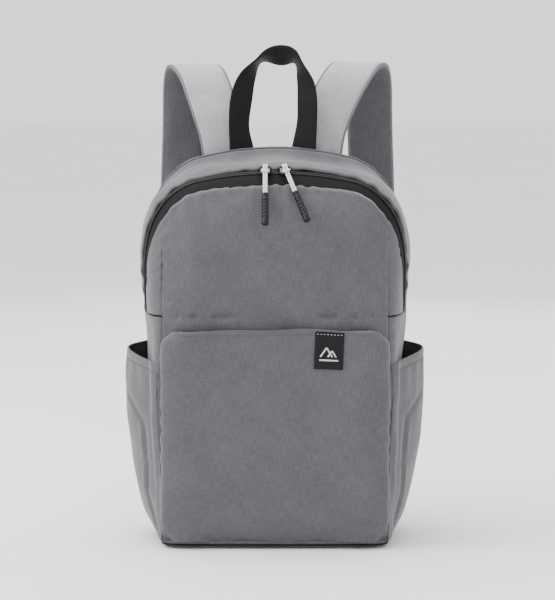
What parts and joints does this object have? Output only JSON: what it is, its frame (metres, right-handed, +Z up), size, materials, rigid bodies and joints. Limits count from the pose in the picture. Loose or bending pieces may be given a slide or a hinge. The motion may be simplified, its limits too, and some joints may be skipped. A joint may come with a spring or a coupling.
{
  "type": "daypack",
  "caption": "Soft daypack with an arched front zip, a full-width front pocket, side pockets, padded shoulder straps and a haul loop.",
  "frame": {"origin": "on the flat base, at the middle of its width, below the middle of the bag", "axes": "+X to the right seen from the front, -Y towards the front, +Z up"},
  "size_m": [0.2998, 0.2407, 0.4901],
  "materials": {
    "shell_fabric": "woven heather, matt",
    "lining": "plain woven lining",
    "mesh": "air mesh",
    "webbing": "ribbed nylon webbing",
    "zip_tape": "woven tape",
    "zip_teeth": "nylon coil",
    "foam": "closed-cell foam",
    "board": "plastic sheet",
    "slider_metal": "black enamel",
    "cord": "braided cord",
    "grip": "moulded rubber",
    "buckle": "acetal",
    "label": "woven label"
  },
  "bodies": {
    "pack": {"base_panel": "shell_fabric", "front_panel_lower": "shell_fabric", "side_panel_left": "shell_fabric", "side_panel_right": "shell_fabric", "zip_end_left": "zip_tape", "zip_end_right": "zip_tape", "rear_gusset": "shell_fabric", "zip_tape_rear": "zip_tape", "zip_teeth_rear": "zip_teeth", "back_panel": "mesh", "back_board": "board", "back_foam": "foam", "laptop_sleeve": "lining", "sleeve_tab": "lining", "front_pocket": "shell_fabric", "front_pocket_hem": "shell_fabric", "label_tag": "label", "side_pocket_left": "shell_fabric", "side_pocket_right": "shell_fabric", "side_pocket_hem_left": "shell_fabric", "side_pocket_hem_right": "shell_fabric", "strap_yoke": "shell_fabric", "strap_tab_left": "shell_fabric", "strap_tab_right": "shell_fabric", "adjust_webbing_left": "webbing", "adjust_webbing_right": "webbing"},
    "flap": {"front_panel": "shell_fabric", "front_gusset_left": "shell_fabric", "front_gusset_right": "shell_fabric", "zip_tape_front": "zip_tape", "zip_teeth_front": "zip_teeth"},
    "handle": {"haul_loop": "webbing"},
    "slider_left": {"slider_left": "slider_metal"},
    "pull_left": {"pull_cord_left": "cord", "pull_grip_left": "grip"},
    "strap_left": {"shoulder_strap_left": "shell_fabric", "strap_mesh_left": "mesh", "buckle_loop_left": "webbing"},
    "buckle_left": {"ladder_lock_left": "buckle", "webbing_tail_left": "webbing"},
    "slider_right": {"slider_right": "slider_metal"},
    "pull_right": {"pull_cord_right": "cord", "pull_grip_right": "grip"},
    "strap_right": {"shoulder_strap_right": "shell_fabric", "strap_mesh_right": "mesh", "buckle_loop_right": "webbing"},
    "buckle_right": {"ladder_lock_right": "buckle", "webbing_tail_right": "webbing"}
  },
  "joints": [
    {"name": "flap_hinge", "type": "hinge", "parent": "pack", "child": "flap", "pos_m": [0, -0.067, 0.219], "axis": [1, 0, 0], "range_deg": [0, 70]},
    {"name": "haul_loop_fold", "type": "hinge", "parent": "pack", "child": "handle", "pos_m": [0, 0.058, 0.389], "axis": [1, 0, 0], "range_deg": [0, 85]},
    {"name": "slider_left_travel", "type": "hinge", "parent": "flap", "child": "slider_left", "pos_m": [0, 0.0216, 0.0288], "axis": [0, -0.9848, -0.1736], "range_deg": [0, 10]},
    {"name": "pull_left_swing", "type": "hinge", "parent": "slider_left", "child": "pull_left", "pos_m": [-0.0095, -0.04293, 0.37316], "axis": [-1, 0, 0], "range_deg": [0, 130]},
    {"name": "strap_left_swing", "type": "hinge", "parent": "pack", "child": "strap_left", "pos_m": [-0.044, 0.0685, 0.374], "axis": [1, 0, 0], "range_deg": [0, 8], "deforming": ["adjust_webbing_left"]},
    {"name": "buckle_left_tilt", "type": "hinge", "parent": "strap_left", "child": "buckle_left", "pos_m": [-0.11108, 0.12603, 0.19142], "axis": [1, 0, 0], "range_deg": [0, 28]},
    {"name": "slider_right_travel", "type": "hinge", "parent": "flap", "child": "slider_right", "pos_m": [0, 0.0216, 0.0288], "axis": [0, 0.9848, 0.1736], "range_deg": [0, 10]},
    {"name": "pull_right_swing", "type": "hinge", "parent": "slider_right", "child": "pull_right", "pos_m": [0.0095, -0.04293, 0.37316], "axis": [-1, 0, 0], "range_deg": [0, 130]},
    {"name": "strap_right_swing", "type": "hinge", "parent": "pack", "child": "strap_right", "pos_m": [0.044, 0.0685, 0.374], "axis": [1, 0, 0], "range_deg": [0, 8], "deforming": ["adjust_webbing_right"]},
    {"name": "buckle_right_tilt", "type": "hinge", "parent": "strap_right", "child": "buckle_right", "pos_m": [0.11108, 0.12603, 0.19142], "axis": [1, 0, 0], "range_deg": [0, 28]}
  ]
}
